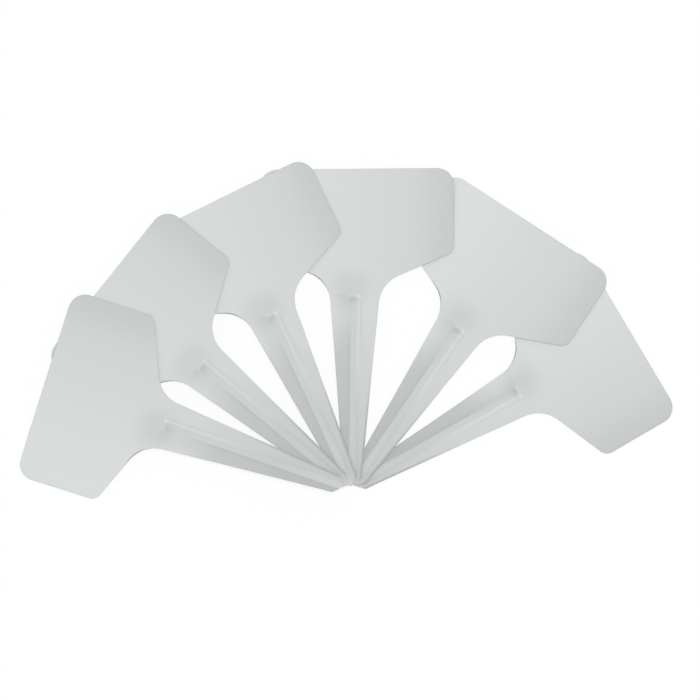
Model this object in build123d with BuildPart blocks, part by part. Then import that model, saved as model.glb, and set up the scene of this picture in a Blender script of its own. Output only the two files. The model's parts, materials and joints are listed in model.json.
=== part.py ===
"""A fan of six T-shaped plant label stakes, lying on a table with their points together.

Each label is one moulding: a slightly bowed head, sloping shoulders, and a stake pressed into a channel
that is open to the front. The head sits a little to the right of the stake's line and is turned a little
on it. Sizes are in millimetres. The table is Z = 0 and the fan opens towards +Y.
"""

from build123d import *

import os

import numpy as np
from scipy.optimize import linprog

# Outline of one label, measured up from where the two sides of its point would meet
label_length = 100.0
head_width = 60.7
head_side = 26.6
head_side_bulge = 0.5
head_top_radius = 5.0
head_shift = 0.7
head_turn = 1.2
shoulder_fall = 9.2
shoulder_radius = 3.0
neck_width = 16.3
neck_radius = 10.4
tip_width = 5.9
tip_radius = 1.2
tip_point = 2.9
point_radius = 0.45

# Sheet
wall = 0.7
head_bow = 1.2

# Channel in the stake: a stepped trough at its upper end that opens into a valley lower down
rim = 0.35
channel_below_neck = 4.4
trough_length = 8.0
opening_length = 11.0
trough_width = 5.0
trough_floor_width = 2.0
trough_depth = 0.6
flank_lead = 0.1
valley_step_width = 4.6
valley_step_depth = 0.75
valley_floor_width = 2.2
valley_depth = 1.1
tip_step_width = 2.9
tip_step_depth = 0.35
tip_floor_width = 1.8
tip_depth = 0.55

# The lay, from the bottom of the pile up: each label's turn clockwise from upright, in degrees, and the
# place of its point
turn_angle = {
    "label_6": 60.5,
    "label_5": 34.2,
    "label_4": 0.7,
    "label_3": -24.9,
    "label_2": -50.1,
    "label_1": -71.0,
}
point_place = {
    "label_6": (0.7, 0.2),
    "label_5": (0.6, 0.2),
    "label_4": (0.4, 0.2),
    "label_3": (0.2, -0.1),
    "label_2": (-1.3, 0.0),
    "label_1": (-2.4, 0.0),
}
lay_gap = 0.1

# How finely the lay is worked out
map_cell = 0.5
edge_samples = 4000
settle_rounds = 4

# Worked out from the sizes above
shoulder_level = label_length - head_side
neck_level = shoulder_level - shoulder_fall
channel_top = neck_level - channel_below_neck
trough_end = channel_top - trough_length
valley_level = trough_end - opening_length
bow_radius = ((head_width / 2) ** 2 + head_bow**2) / (2 * head_bow)
map_reach = label_length + head_width


def bow_fall(across):
    """How far the bowed sheet falls below its crest at a distance from the label's centre line."""
    return bow_radius - np.sqrt(bow_radius**2 - np.square(across))


def stake_half_width(along):
    """Half the width between the stake's straight edges, which widen evenly from its tip through its neck."""
    share = max(along - tip_point, 0) / (neck_level - tip_point)
    return (tip_width + share * (neck_width - tip_width)) / 2


# Sections of the channel, from past the point up to its upper end: the distance along the stake, the half
# width of the mouth, then the half width and depth of the step and of the floor
channel = [
    (along, stake_half_width(along) - rim, step_width / 2, step_depth, floor_width / 2, depth)
    for along, step_width, step_depth, floor_width, depth in (
        (-wall, tip_step_width, tip_step_depth, tip_floor_width, tip_depth),
        (tip_point, tip_step_width, tip_step_depth, tip_floor_width, tip_depth),
        (valley_level, valley_step_width, valley_step_depth, valley_floor_width, valley_depth),
        (trough_end, trough_width, -flank_lead, trough_floor_width, trough_depth),
        (channel_top, trough_width, -flank_lead, trough_floor_width, trough_depth),
    )
]


def channel_section(section, face, cover):
    """Corners of a closed section: the channel below a level face, carried straight up to a level cover."""
    _, mouth, step, step_depth, floor, depth = section
    right = [(floor, face - depth), (step, face - step_depth), (mouth, face), (mouth, cover)]
    left = [(-across, height) for across, height in reversed(right)]
    return left + right


def channel_depth(across, along):
    """Depth of the channel below the crest of the sheet, and below zero where there is no channel."""
    levels, *columns = zip(*channel)
    mouth, step, step_depth, floor, depth = (np.interp(along, levels, column) for column in columns)
    flank_share = np.clip((mouth - across) / (mouth - step), 0, 1)
    step_share = np.clip((step - across) / (step - floor), 0, 1)
    hollow = step_depth * flank_share + (depth - step_depth) * step_share
    return np.where((along < channel_top) & (across < mouth), hollow, -wall)


# Flat outline of the head, with its shoulders level with the origin and run on until they meet in the stake
with BuildSketch() as head:
    with BuildLine() as head_edges:
        shoulders_meet = -shoulder_fall * head_width / (head_width - neck_width)
        Line((0, shoulders_meet), (head_width / 2, 0))
        SagittaArc((head_width / 2, 0), (head_width / 2, head_side), -head_side_bulge)
        mirror(head_edges.line, about=Plane.YZ)
        Line((-head_width / 2, head_side), (head_width / 2, head_side))
    make_face()

# Flat outline of a label, with its point at the origin: the stake, run on into the head, and the head
with BuildSketch() as outline:
    with BuildLine() as stake_edges:
        stake_top = stake_half_width(shoulder_level)
        Polyline((0, 0), (tip_width / 2, tip_point), (stake_top, shoulder_level))
        mirror(stake_edges.line, about=Plane.YZ)
        Line((-stake_top, shoulder_level), (stake_top, shoulder_level))
    make_face()
    with Locations((head_shift, shoulder_level)):
        add(head.sketch, rotation=head_turn)
    fillet(outline.vertices().sort_by(Axis.Y)[7:9], head_top_radius)
    fillet(outline.vertices().sort_by(Axis.Y)[5:7], shoulder_radius)
    fillet(outline.vertices().sort_by(Axis.Y)[3:5], neck_radius)
    fillet(outline.vertices().sort_by(Axis.Y)[1:3], tip_radius)
    fillet(outline.vertices().sort_by(Axis.Y)[0], point_radius)
outline_box = outline.sketch.bounding_box()

# One label, with the back of its crest on the XY plane
with BuildPart() as label:
    with BuildSketch(Plane.XZ):
        half_width = max(outline_box.max.X, -outline_box.min.X) + wall
        fall = float(bow_fall(half_width))
        with BuildLine():
            ThreePointArc((-half_width, wall - fall), (0, wall), (half_width, wall - fall))
            Line((half_width, wall - fall), (half_width, -fall))
            ThreePointArc((half_width, -fall), (0, 0), (-half_width, -fall))
            Line((-half_width, -fall), (-half_width, wall - fall))
        make_face()
    extrude(amount=-outline_box.max.Y - wall)
    for section in channel:
        with BuildSketch(Plane.XZ.offset(-section[0])):
            with BuildLine():
                Polyline(*channel_section(section, face=0, cover=wall / 2), close=True)
            make_face()
    loft(ruled=True)
    extrude(outline.sketch, amount=label_length, both=True, mode=Mode.INTERSECT)
    for section in channel:
        with BuildSketch(Plane.XZ.offset(-section[0])):
            with BuildLine():
                Polyline(*channel_section(section, face=wall, cover=2 * wall), close=True)
            make_face()
    loft(ruled=True, mode=Mode.SUBTRACT)


def outline_reach(along):
    """How far the label's outline reaches to the left and to the right at a distance from its point."""
    wire = outline.face().outer_wire()
    corners = [tuple(corner) for corner in wire.positions(np.linspace(0, 1, edge_samples))]
    across, up, _ = np.array(sorted(corners, key=lambda corner: corner[1])).T
    return [np.interp(along, up[side], across[side]) for side in (across < 0, across >= 0)]


def surface_points():
    """Points all over a label's back, and the points straight above them on its front."""
    spacing = map_cell / 2
    rows = np.arange(outline_box.min.Y, outline_box.max.Y, spacing)
    shares = np.linspace(0, 1, int(head_width / spacing))
    along, share = np.meshgrid(rows, shares)
    left, right = outline_reach(along)
    across = left + share * (right - left)
    fall = np.maximum(bow_fall(across), channel_depth(np.abs(across), along))
    back = np.stack([across, along, -fall], axis=-1).reshape(-1, 3)
    return back, back + (0, 0, wall)


def label_plane(turn, point, slopes):
    """Plane of a label that is turned clockwise from +Y and climbs by the given slopes along X and Y."""
    heading = np.array([np.sin(turn), np.cos(turn)])
    up_label = Vector(*heading, heading @ slopes)
    face = Vector(-slopes[0], -slopes[1], 1)
    return Plane(origin=tuple(point), x_dir=up_label.cross(face), z_dir=face)


def on_plane(points, plane):
    """Points in a label's own frame, carried to where the plane puts them."""
    directions = np.array([tuple(plane.x_dir), tuple(plane.y_dir), tuple(plane.z_dir)])
    return points @ directions + np.array(tuple(plane.origin))


def map_cells(points):
    """Column and row of each point on a map of the table in square cells."""
    return tuple(((points[:, :2] + map_reach) / map_cell).astype(int).T)


def settle(turn, place, back, balance, support):
    """Plane on which a label comes to rest, with its centre of mass as low as its supports allow.

    The support is a map of the lowest free height over the table. Each round finds the lift and the two
    slopes that lower the centre of mass most while no cell of the label's back goes below its support.
    """
    point = np.array([*place, support.max()])
    slopes = np.zeros(2)
    for _ in range(settle_rounds):
        plane = label_plane(turn, point, slopes)
        under = on_plane(back, plane)
        lowest = np.full_like(support, np.inf)
        np.minimum.at(lowest, map_cells(under), under[:, 2])
        cells = np.argwhere(np.isfinite(lowest))
        arms = (cells + 0.5) * map_cell - map_reach - point[:2]
        room = (lowest - support)[tuple(cells.T)]
        balance_arm = on_plane(np.array([balance]), plane)[0, :2] - point[:2]
        moves = np.column_stack([np.ones(len(cells)), arms])
        best = linprog([1, *balance_arm], A_ub=-moves, b_ub=room, bounds=[(None, None)] * 3)
        point[2] += best.x[0]
        slopes += best.x[1:]
    return label_plane(turn, point, slopes)


# Each label comes to rest on the table and on the labels that already lie there
back, front = surface_points()
balance = tuple(label.part.center(CenterOf.MASS))
map_size = int(2 * map_reach / map_cell)
support = np.zeros((map_size, map_size))
resting = {}
for name, turn in turn_angle.items():
    resting[name] = settle(np.radians(turn), point_place[name], back, balance, support)
    top = on_plane(front, resting[name])
    np.maximum.at(support, map_cells(top), top[:, 2] + lay_gap)

# The origin is on the table, under the middle of the fan
fan_box = Compound([label.part.moved(plane.location) for plane in resting.values()]).bounding_box()
fan_origin = Vector(fan_box.center().X, fan_box.center().Y, fan_box.min.Z)

os.makedirs("parts", exist_ok=True)
for name, plane in resting.items():
    with BuildPart(Plane(plane.origin - fan_origin, plane.x_dir, plane.z_dir)) as laid_label:
        add(label.part)
    laid_label.part.label = name
    export_step(laid_label.part, f"parts/{name}.step")
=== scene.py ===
"""Looks of a fan of six blank T-shaped plant labels, lying on a white table with their points together."""

import json

import bpy
import numpy as np
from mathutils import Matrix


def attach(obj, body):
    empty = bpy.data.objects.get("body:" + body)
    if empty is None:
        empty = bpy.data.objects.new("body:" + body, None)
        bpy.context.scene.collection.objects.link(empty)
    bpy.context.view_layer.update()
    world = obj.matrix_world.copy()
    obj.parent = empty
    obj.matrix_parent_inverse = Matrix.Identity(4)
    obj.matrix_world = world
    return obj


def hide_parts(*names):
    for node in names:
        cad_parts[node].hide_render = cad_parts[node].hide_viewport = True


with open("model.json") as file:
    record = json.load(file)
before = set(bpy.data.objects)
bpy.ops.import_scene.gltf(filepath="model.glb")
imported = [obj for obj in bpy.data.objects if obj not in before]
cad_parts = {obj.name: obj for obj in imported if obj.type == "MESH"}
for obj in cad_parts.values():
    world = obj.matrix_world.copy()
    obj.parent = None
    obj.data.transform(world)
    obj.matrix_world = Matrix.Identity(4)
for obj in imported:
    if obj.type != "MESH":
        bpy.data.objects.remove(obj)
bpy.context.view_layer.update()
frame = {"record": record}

LABELS = ("label_1", "label_2", "label_3", "label_4", "label_5", "label_6")
MM = 0.001

# Outline of one label in millimetres, measured up from where the two sides of its point would meet
label_length = 100.0
head_width = 60.7
head_side = 26.6
head_side_bulge = 0.5
head_top_radius = 5.0
head_shift = 0.7
head_turn = 1.2
shoulder_fall = 9.2
shoulder_radius = 3.0
neck_width = 16.3
neck_radius = 10.4
tip_width = 5.9
tip_radius = 1.2
tip_point = 2.9
point_radius = 0.45

# Sheet
wall = 0.7
head_bow = 1.2
edge_radius = 0.16

# Channel in the stake: a stepped trough at its upper end that opens into a valley lower down
channel_below_neck = 4.4
trough_length = 8.0
opening_length = 11.0
trough_width = 5.0
trough_floor_width = 2.0
trough_depth = 0.6
flank_lead = 0.1
valley_step_width = 4.6
valley_step_depth = 0.75
valley_floor_width = 2.2
valley_depth = 1.1
tip_step_width = 2.9
tip_step_depth = 0.35
tip_floor_width = 1.8
tip_depth = 0.55
channel_end_ramp = 1.8
valley_crease = 0.26
trough_crease = 0.5

# Shallow dimple in the front, above the channel's upper end
dimple_depth = 0.3
dimple_width = 2.6
dimple_length = 4.0
dimple_above_channel = 1.5

# Finish: colour and satin of the plastic, its noises in metres, and how far they and the rim change it
plastic_colour = (0.664, 0.693, 0.684)
plastic_ior = 1.49
satin_roughness = 0.58
cloud_size = 0.03
peel_size = 0.003
grain_size = 0.0004
noise_roughness = 0.55
mottle = 0.03
cloud_roughness = 0.12
grain_roughness = 0.1
peel_share = 0.6
relief_strength = 0.12
relief_depth = 0.0001
rim_rise = 0.02
rim_polish = 0.08

# Painted shade and light: shares by which parts of a label are painted darker than the plain plastic,
# or painted lighter where it is a rise
painted_shade_to_right = 0.15
painted_shade_at_right_end = 0.09
painted_shade_on_stake = 0.015
painted_shade_down_stake = 0.085
painted_shade_on_left_flank = 0.19
painted_shade_on_floor = 0.085
painted_shade_on_left_lip = 0.085
painted_light_on_right_wall = 0.16
painted_shade_at_notch = 0.06
painted_shade_above_notch = 0.118
painted_shade_on_left_neck = 0.75
painted_shade_on_right_edge = 0.22

# Where those parts lie across and along a label: a pair fades in from its first place to its second
head_across = (-34.0, 34.0)
right_end_across = (16.0, 32.0)
stake_along = (60.0, 50.0)
lower_stake_along = (44.0, 8.0)
left_flank_across = (-0.9, -1.5)
left_flank_above_trough_end = 2.0
left_flank_below_valley = 1.0
left_lip_from_edge = (-8.5, -2.5)
left_lip_from_floor = (-1.6, -2.5)
right_wall_from_floor = (0.4, 1.2)
right_wall_from_edge = (2.2, 1.5)
right_wall_along = (18.0, 52.0)
floor_along = (4.0, 30.0)
notch_across = (0.4, -1.2)
notch_fade = 1.0
right_edge_along = (40.0, 16.0)

# Painted dark line of shade at the stake's right edge, as distances inwards from that edge
right_edge_from_outside = (-0.05, 0.25)
right_edge_from_inside = (0.9, 0.5)

# Round patches of painted shade above the notch and at the left of the neck: the middle across and along a
# label, and the reach to where they have faded out
above_notch_middle = (-2.6, 62.5)
above_notch_reach = (10.0, 9.0)
left_neck_middle = (-12.2, 65.4)
left_neck_reach = (6.5, 6.0)

# Grid of a label's sheet: rows lie closer together from just below to just above the channel's upper end
columns = 65
row_spacing = 0.45
close_row_spacing = 0.12
close_rows_below = 1.2
close_rows_above = 0.6
closest_rows = 0.05
arc_steps = 14
round_angles = (30, 60, 90)
lean_along = (0.5, 6.0)
square_back_from = 0.75
slope_reach = 0.025

# Worked out from the sizes above
shoulder_level = label_length - head_side
neck_level = shoulder_level - shoulder_fall
channel_top = neck_level - channel_below_neck
trough_end = channel_top - trough_length
valley_level = trough_end - opening_length
bow_radius = ((head_width / 2) ** 2 + head_bow**2) / (2 * head_bow)
edge_slope = (neck_width - tip_width) / 2 / (neck_level - tip_point)
left_flank_along = (trough_end + left_flank_above_trough_end, valley_level - left_flank_below_valley)
below_notch_along = (channel_top + notch_fade, channel_top)
notch_along = (channel_top - 2 * channel_end_ramp, channel_top - channel_end_ramp / 2)

# Sections of the channel: the distance along the stake, then the half width and depth of the step and of
# the floor
tip_section = (tip_step_width / 2, tip_step_depth, tip_floor_width / 2, tip_depth)
valley_section = (valley_step_width / 2, valley_step_depth, valley_floor_width / 2, valley_depth)
trough_section = (trough_width / 2, -flank_lead, trough_floor_width / 2, trough_depth)
channel_sections = np.array(
    [
        (0.0, *tip_section),
        (tip_point, *tip_section),
        (valley_level, *valley_section),
        (trough_end, *trough_section),
        (channel_top, *trough_section),
    ]
).T


def unit(vectors):
    """Vectors divided by their lengths."""
    return vectors / np.linalg.norm(vectors, axis=-1, keepdims=True)


def smooth_step(values, start, end):
    """0 before start and 1 after end, and between them 3 t squared less 2 t cubed, t being the share gone."""
    share = np.clip((values - start) / (end - start), 0, 1)
    return share**2 * (3 - 2 * share)


def above_zero(values, softness):
    """The larger of a value and zero, with the corner between them rounded.

    It is half the sum of x and the root of x squared plus s squared, s being the softness.
    """
    return (values + np.sqrt(values**2 + softness**2)) / 2


def rounded_corner(before, corner, after, radius):
    """Points on the circle that touches both sides of a corner, from one touching point to the other.

    Its centre lies on the corner's bisector, at the radius divided by the sine of half the corner's angle.
    """
    before, corner, after = np.array(before), np.array(corner), np.array(after)
    sides = unit(np.stack([before - corner, after - corner]))
    half_angle = np.arccos(sides[0] @ sides[1]) / 2
    centre = corner + unit(sides.sum(axis=0)) * radius / np.sin(half_angle)
    touching = corner + sides * radius / np.tan(half_angle) - centre
    start, end = np.arctan2(touching[:, 1], touching[:, 0])
    sweep = (end - start + np.pi) % (2 * np.pi) - np.pi
    angles = start + sweep * np.linspace(0, 1, arc_steps)
    return centre + radius * np.stack([np.cos(angles), np.sin(angles)], axis=-1)


def side_outline(side):
    """One side of a label's outline, -1 left or 1 right, from its point's middle to its top corner's end.

    Straight sides between rounded corners; the head's side bulges by a parabola over its height. The head's
    corners are turned about the middle of its shoulders, which is moved aside from the stake's line.
    """
    turn = np.radians(head_turn)
    head_right = np.array([np.cos(turn), np.sin(turn)])
    head_up = np.array([-np.sin(turn), np.cos(turn)])
    head_middle = np.array([head_shift, shoulder_level])
    shoulder = head_middle + side * head_width / 2 * head_right
    shoulders_meet = head_middle - shoulder_fall * head_width / (head_width - neck_width) * head_up
    top, top_middle = shoulder + head_side * head_up, head_middle + head_side * head_up
    point, tip = np.zeros(2), np.array([side * tip_width / 2, tip_point])
    edge = np.array([side * neck_width / 2, neck_level]) - tip
    run = np.linalg.solve(np.stack([edge, shoulders_meet - shoulder], axis=-1), shoulders_meet - tip)[0]
    neck = tip + run * edge
    corners = np.concatenate(
        [
            rounded_corner((-tip[0], tip[1]), point, tip, point_radius)[arc_steps // 2 :],
            rounded_corner(point, tip, neck, tip_radius),
            rounded_corner(tip, neck, shoulder, neck_radius),
            rounded_corner(neck, shoulder, top, shoulder_radius),
            rounded_corner(shoulder, top, top_middle, head_top_radius),
        ]
    )
    share = np.clip((corners - head_middle) @ head_up / head_side, 0, 1)
    return corners + np.outer(4 * head_side_bulge * share * (1 - share), side * head_right)


def inset_outlines():
    """Both sides of the outline, moved inwards by the edge's radius, with a point on each for every row.

    Rows are evenly spaced along the mean of the two sides, and closer together at the channel's upper end.
    """
    sides = [side_outline(side) for side in (-1, 1)]
    middle = (sides[0] * (-1, 1) + sides[1]) / 2
    lengths = np.append(0, np.cumsum(np.linalg.norm(np.diff(middle, axis=0), axis=1)))
    close_rows = np.arange(channel_top - close_rows_below, channel_top + close_rows_above, close_row_spacing)
    close_rows = np.interp(close_rows, middle[:, 1], lengths)
    rows = np.concatenate([lengths, np.arange(0, lengths[-1], row_spacing), close_rows])
    rows = closest_rows * np.unique(np.round(rows / closest_rows))
    inset = []
    for side, outline in zip((-1, 1), sides):
        outline = np.stack([np.interp(rows, lengths, values) for values in outline.T], axis=-1)
        ahead = unit(np.gradient(outline, axis=0))
        inset.append(outline - side * edge_radius * np.stack([ahead[:, 1], -ahead[:, 0]], axis=-1))
    return inset


def stake_edge(along):
    """Half the width between the stake's edges, which widen evenly from its tip to its neck."""
    return np.interp(along, (tip_point, neck_level), (tip_width / 2, neck_width / 2))


def flank_slope(along):
    """Slope of the channel's flank where it reaches the stake's edge, fading out along the trough."""
    levels, step, step_depth, _, _ = channel_sections
    rise = np.maximum(np.interp(along, levels, step_depth), 0)
    slope = rise / (stake_edge(along) - np.interp(along, levels, step))
    return slope * (1 - smooth_step(along, trough_end, channel_top))


def sheet_fall(across, along):
    """How far the front of a label lies below its crest.

    The larger of the head's bow, an arc of a circle across the label, and the channel. The channel's section
    has three straight parts on each side: floor, wall and flank. Each bend in it is a rounded corner added
    to a straight line.
    """
    levels, *sizes = channel_sections
    step, step_depth, floor, floor_depth = (np.interp(along, levels, size) for size in sizes)
    mouth = stake_edge(along)
    softness = np.interp(along, (valley_level, trough_end), (valley_crease, trough_crease))
    away = np.abs(across)
    wall_slope = (floor_depth - step_depth) / (step - floor)
    slope = step_depth / (mouth - step)
    channel = (
        floor_depth
        - wall_slope * above_zero(away - floor, softness)
        - (slope - wall_slope) * above_zero(away - step, softness)
        + slope * above_zero(away - mouth, softness)
    )
    channel = channel * (1 - smooth_step(along, channel_top - channel_end_ramp, channel_top))
    bow = bow_radius - np.sqrt(bow_radius**2 - across**2)
    return bow + above_zero(channel - bow, softness / 4)


def dimple(across, along):
    """Depth of the shallow dimple in the front above the channel's upper end: a bell curve both ways."""
    up = along - channel_top - dimple_above_channel
    return dimple_depth * np.exp(-((across / dimple_width) ** 2) - (up / dimple_length) ** 2)


def floor_share(across, along):
    """1 on the channel's floor and 0 outside its walls and past its upper end, smooth between them."""
    levels, step, _, floor, _ = channel_sections
    inside = 1 - smooth_step(np.abs(across), np.interp(along, levels, floor), np.interp(along, levels, step))
    return inside * (1 - smooth_step(along, channel_top - channel_end_ramp / 4, channel_top))


def sheet_slopes(across, along):
    """Slopes of the fall across and along the label, from differences over a short reach to either side."""
    slope_across = sheet_fall(across + slope_reach, along) - sheet_fall(across - slope_reach, along)
    slope_along = sheet_fall(across, along + slope_reach) - sheet_fall(across, along - slope_reach)
    return slope_across / (2 * slope_reach), slope_along / (2 * slope_reach)


def sheet_grid():
    """Places across and along the label of the front's points, and each one's share of its row, from -1 to 1.

    Rows run from the left side of the outline straight to the right side, and columns are equal shares of
    them. On the stake both sides are drawn in by the wall times the sine of the flank's slope, and by a
    quarter of the width at most. The edge there is square to the flank, and its back reaches the outline.
    """
    left, right = inset_outlines()
    rows = (left[:, 1] + right[:, 1]) / 2
    lean = wall * np.sin(np.arctan(flank_slope(rows))) * smooth_step(rows, *lean_along)
    lean = np.minimum(lean, (right[:, 0] - left[:, 0]) / 4)
    left[:, 0] += lean
    right[:, 0] -= lean
    share = np.broadcast_to(np.linspace(-1, 1, columns), (len(rows), columns))
    across, along = np.moveaxis(left[:, None] + (share[..., None] + 1) / 2 * (right - left)[:, None], -1, 0)
    return across, along, share


def edge_rings(front, back, square):
    """Rings of points round the edge, from the front to the back: two quarter rounds with a band between.

    A point of a round lies outwards by the radius times the sine of its angle. It lies behind the front, or
    before the back, by the radius less the radius times the cosine. Outwards is square to the sheet and to
    the run of the edge.
    """
    ahead = unit(np.roll(front, -1, axis=0) - front)
    ahead = unit(ahead + np.roll(ahead, 1, axis=0))
    outwards = unit(np.cross(ahead, square))
    angles = np.radians(round_angles)
    reach = edge_radius * np.concatenate([np.sin(angles), np.sin(angles[::-1])])
    depth = edge_radius * (1 - np.cos(angles)) / wall
    depth = np.concatenate([depth, 1 - depth[::-1]])
    return front + depth[:, None, None] * (back - front) + reach[:, None, None] * outwards


def label_sheet():
    """Closed sheet of one label in its own frame: points, faces, and each point's share of three parts.

    The front lies below the crest by the fall and the dimple. The back lies one wall behind the front
    without its dimple, straight down in the middle and square to the sheet towards the edges. Rings of
    points close the edge between the two. The parts are the rim, which is all the rings, the edge, which
    is the upper round with the ends of the front's rows, and the channel's floor.
    """
    across, along, share = sheet_grid()
    upright = np.ones_like(across)
    front = np.stack([across, along, wall - sheet_fall(across, along)], axis=-1)
    slope_across, slope_along = sheet_slopes(across, along)
    square = unit(np.stack([slope_across, slope_along, upright], axis=-1))
    edge_share = smooth_step(np.abs(share), square_back_from, 1)
    behind = unit(np.stack([slope_across * edge_share, slope_along * edge_share, upright], axis=-1))
    back = front - wall * behind
    front[..., 2] -= dimple(across, along)

    number = np.arange(along.size).reshape(along.shape)
    loop = np.concatenate([number[:, -1], number[-1, -2::-1], number[-2::-1, 0], number[0, 1:-1]])
    front, back, square = (grid.reshape(-1, 3) for grid in (front, back, square))
    rings = edge_rings(front[loop], back[loop], square[loop])
    points = np.concatenate([front, back, rings.reshape(-1, 3)])

    ring_numbers = 2 * along.size + np.arange(rings[..., 0].size).reshape(rings.shape[:2])
    bands = np.concatenate([loop[None], ring_numbers, loop[None] + along.size])
    upper, lower = bands[:-1], bands[1:]
    rim_faces = np.stack([upper, lower, np.roll(lower, -1, axis=1), np.roll(upper, -1, axis=1)], axis=-1)
    front_faces = np.stack([number[:-1, :-1], number[:-1, 1:], number[1:, 1:], number[1:, :-1]], axis=-1)
    back_faces = front_faces[..., ::-1] + along.size
    faces = np.concatenate([grid.reshape(-1, 4) for grid in (front_faces, back_faces, rim_faces)])

    no_front, no_back, no_rings = np.zeros(along.size), np.zeros(along.size), np.zeros(ring_numbers.size)
    upper_round = np.repeat(np.arange(len(rings)) < len(round_angles), len(loop))
    # The edge and floor shares mark where shade is painted into the plastic: a dark line at the left of the
    # neck, and a darker channel floor and notch
    shares = {
        "label_rim": np.concatenate([no_front, no_back, no_rings + 1]),
        "label_edge": np.concatenate([np.abs(share).ravel() == 1, no_back, upper_round]),
        "label_floor": np.concatenate([floor_share(across, along).ravel(), no_back, no_rings]),
    }
    return points, faces, shares


def label_axes(name):
    """Place of a label's point, and its directions across, along and out of its front, from its mounts."""
    mounts = {mount["name"]: mount for mount in frame["record"]["mounts"]}
    point = np.array(mounts[f"{name}_stake"]["pos_m"])
    along = -np.array(mounts[f"{name}_stake"]["axis"])
    front = np.array(mounts[f"{name}_face"]["axis"])
    return point, np.stack([np.cross(along, front), along, front])


def lay_label(name, sheet, plastic):
    """One label where the frame has it: its point plus the sheet's points along the label's three axes."""
    points, faces, shares = sheet
    point, axes = label_axes(name)
    mesh = bpy.data.meshes.new(f"{name}_sheet")
    mesh.from_pydata(point + MM * points @ axes, [], faces.tolist())
    mesh.polygons.foreach_set("use_smooth", np.ones(len(faces), bool))
    place = mesh.attributes.new("label_place", "FLOAT_VECTOR", "POINT")
    place.data.foreach_set("vector", points.astype(np.float32).ravel())
    for part, values in shares.items():
        mesh.attributes.new(part, "FLOAT", "POINT").data.foreach_set("value", values.astype(np.float32))
    mesh.materials.append(plastic)
    label = bpy.data.objects.new(f"{name}_sheet", mesh)
    bpy.context.scene.collection.objects.link(label)
    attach(label, name)
    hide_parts(name)


class Shade:
    """A shader socket. Arithmetic on it adds Math nodes to its tree."""

    def __init__(self, tree, socket):
        self.tree = tree
        self.socket = socket

    @staticmethod
    def node(tree, kind, settings=None, inputs=None, output=0):
        """Adds a node: first its settings, then its inputs' values or links. Gives one of its outputs."""
        made = tree.nodes.new(kind)
        for name, value in (settings or {}).items():
            setattr(made, name, value)
        for name, value in (inputs or {}).items():
            if isinstance(value, Shade):
                tree.links.new(value.socket, made.inputs[name])
            else:
                made.inputs[name].default_value = value
        return Shade(tree, made.outputs[output]) if made.outputs else None

    def maths(self, operation, *values):
        """A Math node of that operation on the values."""
        return Shade.node(self.tree, "ShaderNodeMath", {"operation": operation}, dict(enumerate(values)))

    def __add__(self, other):
        return self.maths("ADD", self, other)

    __radd__ = __add__

    def __sub__(self, other):
        return self.maths("SUBTRACT", self, other)

    def __rsub__(self, other):
        return self.maths("SUBTRACT", other, self)

    def __mul__(self, other):
        return self.maths("MULTIPLY", self, other)

    __rmul__ = __mul__

    def __abs__(self):
        return self.maths("ABSOLUTE", self)


def blank_material(name):
    """A new material with an empty node tree."""
    material = bpy.data.materials.new(name)
    material.use_nodes = True
    material.node_tree.nodes.clear()
    return material


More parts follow.
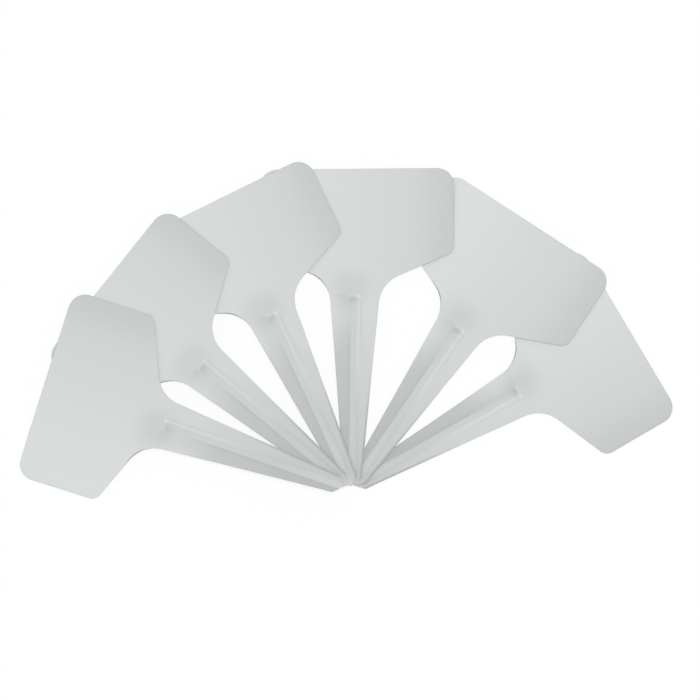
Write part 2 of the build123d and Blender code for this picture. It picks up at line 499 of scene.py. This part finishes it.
def label_plastic():
    """Pale satin plastic: matte grain, painted shade and light in its colour, and a slightly lighter, less
    rough rim.

    The painted shade falls across the head, down the stake, in and around the channel and in thin lines at
    the neck and the stake's edge; the channel's right wall is painted lighter. The tone is about 1, less each
    part's painted shade times how far a point belongs to that part of the label.
    """
    material = blank_material("label_plastic")
    tree = material.node_tree

    def node(kind, settings=None, inputs=None, output=0):
        return Shade.node(tree, kind, settings, inputs, output)

    on_label = node("ShaderNodeTexCoord", output="Object")
    place = node("ShaderNodeAttribute", {"attribute_name": "label_place"}, output="Vector")
    rim = node("ShaderNodeAttribute", {"attribute_name": "label_rim"}, output="Fac")
    edge = node("ShaderNodeAttribute", {"attribute_name": "label_edge"}, output="Fac")
    floor = node("ShaderNodeAttribute", {"attribute_name": "label_floor"}, output="Fac")
    across = node("ShaderNodeSeparateXYZ", None, {"Vector": place}, "X")
    along = node("ShaderNodeSeparateXYZ", None, {"Vector": place}, "Y")

    def noise(size, detail):
        """Noise about zero, with lumps of about that size in metres."""
        scale = {"Vector": on_label, "Scale": 1 / size, "Detail": detail, "Roughness": noise_roughness}
        return node("ShaderNodeTexNoise", None, scale, "Fac") - 0.5

    def ramp(value, start, end):
        """0 at start and 1 at end, smooth between them."""
        limits = {"Value": value, "From Min": start, "From Max": end}
        return node("ShaderNodeMapRange", {"interpolation_type": "SMOOTHSTEP"}, limits, "Result")

    def patch(middle, reach):
        """1 at a middle across and along the label, and 0 from a reach on either side of it."""
        return ramp(abs(across - middle[0]), reach[0], 0) * ramp(abs(along - middle[1]), reach[1], 0)

    cloud = noise(cloud_size, detail=2)
    grain = noise(grain_size, detail=3)
    peel = noise(peel_size, detail=1)

    # Where shade is painted into the colour: in and around the channel, above its notch, at the left of the
    # neck and along the stake's right edge; the channel's right wall is painted lighter
    below_notch = ramp(along, *below_notch_along)
    left_flank = ramp(across, *left_flank_across) * ramp(along, *left_flank_along)
    left_lip = ramp(across, *left_lip_from_edge) * ramp(across, *left_lip_from_floor)
    left_lip = left_lip * below_notch * ramp(along, valley_level, trough_end)
    right_wall = ramp(across, *right_wall_from_floor) * ramp(across, *right_wall_from_edge)
    right_wall = right_wall * below_notch * ramp(along, *right_wall_along)
    notch = floor * ramp(along, *notch_along) * ramp(across, *notch_across)
    above_notch = patch(above_notch_middle, above_notch_reach)
    left_neck = edge * patch(left_neck_middle, left_neck_reach)
    inwards = tip_width / 2 + edge_slope * (along - tip_point) - across
    right_edge = ramp(inwards, *right_edge_from_inside) * ramp(inwards, *right_edge_from_outside)
    right_edge = right_edge * ramp(along, *right_edge_along)

    # The tone: painted shade across the head, down the stake and in the channel, painted light on its right
    # wall, painted dark lines at the neck and the stake's edge, then random mottle and a slightly lighter rim
    tone = 1 + painted_shade_to_right / 2 - painted_shade_to_right * ramp(across, *head_across)
    tone = tone - painted_shade_at_right_end * ramp(across, *right_end_across)
    tone = tone - painted_shade_on_stake * ramp(along, *stake_along)
    tone = tone - painted_shade_down_stake * ramp(along, *lower_stake_along)
    tone = tone - painted_shade_on_left_flank * left_flank - painted_shade_on_left_lip * left_lip
    tone = tone - painted_shade_on_floor * floor * ramp(along, *floor_along) + painted_light_on_right_wall * right_wall
    tone = tone - painted_shade_at_notch * notch - painted_shade_above_notch * above_notch
    tone = tone - painted_shade_on_left_neck * left_neck - painted_shade_on_right_edge * right_edge
    tone = tone + mottle * (cloud + grain) + rim_rise * rim

    shaded = {0: plastic_colour, "Scale": tone}
    colour = node("ShaderNodeVectorMath", {"operation": "SCALE"}, shaded, "Vector")
    roughness = satin_roughness + cloud_roughness * cloud + grain_roughness * grain - rim_polish * rim
    relief = {"Strength": relief_strength, "Distance": relief_depth, "Height": grain + peel_share * peel}
    bump = node("ShaderNodeBump", None, relief, "Normal")
    finish = {"Base Color": colour, "Roughness": roughness, "IOR": plastic_ior, "Normal": bump}
    surface = node("ShaderNodeBsdfPrincipled", None, finish, "BSDF")
    node("ShaderNodeOutputMaterial", None, {"Surface": surface})
    return material


def white_to_the_eye(tree):
    """1 for rays from the camera and for those that a gloss or a clear piece sends on, and otherwise 0."""
    path = [
        Shade.node(tree, "ShaderNodeLightPath", output=ray)
        for ray in ("Is Camera Ray", "Is Glossy Ray", "Is Transmission Ray")
    ]
    seen = path[0] + path[1] + path[2]
    return seen.maths("MINIMUM", seen, 1.0)


def white_table(paint, glow, glow_share):
    """Matte white that is partly its own light to the eye, so it reads as white and keeps a soft shadow."""
    material = blank_material("white_table")
    tree = material.node_tree
    matte = Shade.node(tree, "ShaderNodeBsdfDiffuse", None, {"Color": (paint, paint, paint, 1)}, "BSDF")
    shining = {"Color": (1, 1, 1, 1), "Strength": glow}
    light = Shade.node(tree, "ShaderNodeEmission", None, shining, "Emission")
    both = {"Fac": glow_share * white_to_the_eye(tree), 1: matte, 2: light}
    mixed = Shade.node(tree, "ShaderNodeMixShader", None, both, "Shader")
    Shade.node(tree, "ShaderNodeOutputMaterial", None, {"Surface": mixed})
    return material


def table_top(half_side, below):
    """Square table, just below the labels."""
    corners = half_side * np.array([(-1, -1), (1, -1), (1, 1), (-1, 1)])
    mesh = bpy.data.meshes.new("table_top")
    mesh.from_pydata([(x, y, -below) for x, y in corners], [], [(0, 1, 2, 3)])
    mesh.materials.append(white_table(paint=0.9, glow=1.04, glow_share=0.8))
    table = bpy.data.objects.new("table_top", mesh)
    bpy.context.scene.collection.objects.link(table)


def soft_room(strength):
    """Even white light from all round. To the eye it is plain white."""
    world = bpy.data.worlds.new("soft_room")
    bpy.context.scene.world = world
    world.use_nodes = True
    tree = world.node_tree
    tree.nodes.clear()
    white = {"Color": (1, 1, 1, 1), "Strength": strength + (1 - strength) * white_to_the_eye(tree)}
    light = Shade.node(tree, "ShaderNodeBackground", None, white, "Background")
    Shade.node(tree, "ShaderNodeOutputWorld", None, {"Surface": light})


def soft_lamp(name, azimuth, elevation, distance, side, power):
    """Square lamp that looks at the table's middle from an azimuth, counted from +X, and an elevation."""
    turn, rise = np.radians([azimuth, elevation])
    lamp = bpy.data.lights.new(name, "AREA")
    lamp.size = side
    lamp.energy = power
    stand = bpy.data.objects.new(name, lamp)
    direction = np.array([np.cos(turn) * np.cos(rise), np.sin(turn) * np.cos(rise), np.sin(rise)])
    stand.location = distance * direction
    stand.rotation_euler = (np.pi / 2 - rise, 0, turn + np.pi / 2)
    bpy.context.scene.collection.objects.link(stand)


def overhead_camera(middle, width, height):
    """Camera straight above a place on the table, whose picture is as wide as given at the table."""
    camera = bpy.data.cameras.new("overhead")
    camera.lens = camera.sensor_width * height / width
    camera.clip_end = 100
    stand = bpy.data.objects.new("overhead", camera)
    stand.location = (*middle, height)
    bpy.context.scene.collection.objects.link(stand)
    bpy.context.scene.camera = stand


# The fan
plastic = label_plastic()
sheet = label_sheet()
for name in LABELS:
    lay_label(name, sheet, plastic)

# The table, the light and the camera, in metres
table_top(half_side=4.0, below=0.00005)
soft_room(strength=0.44)
soft_lamp("overhead_box", azimuth=55, elevation=86, distance=5.0, side=1.0, power=124)
overhead_camera(middle=(0.00117, -0.00625), width=0.2211, height=4.0)
bpy.context.scene.view_settings.view_transform = "Standard"
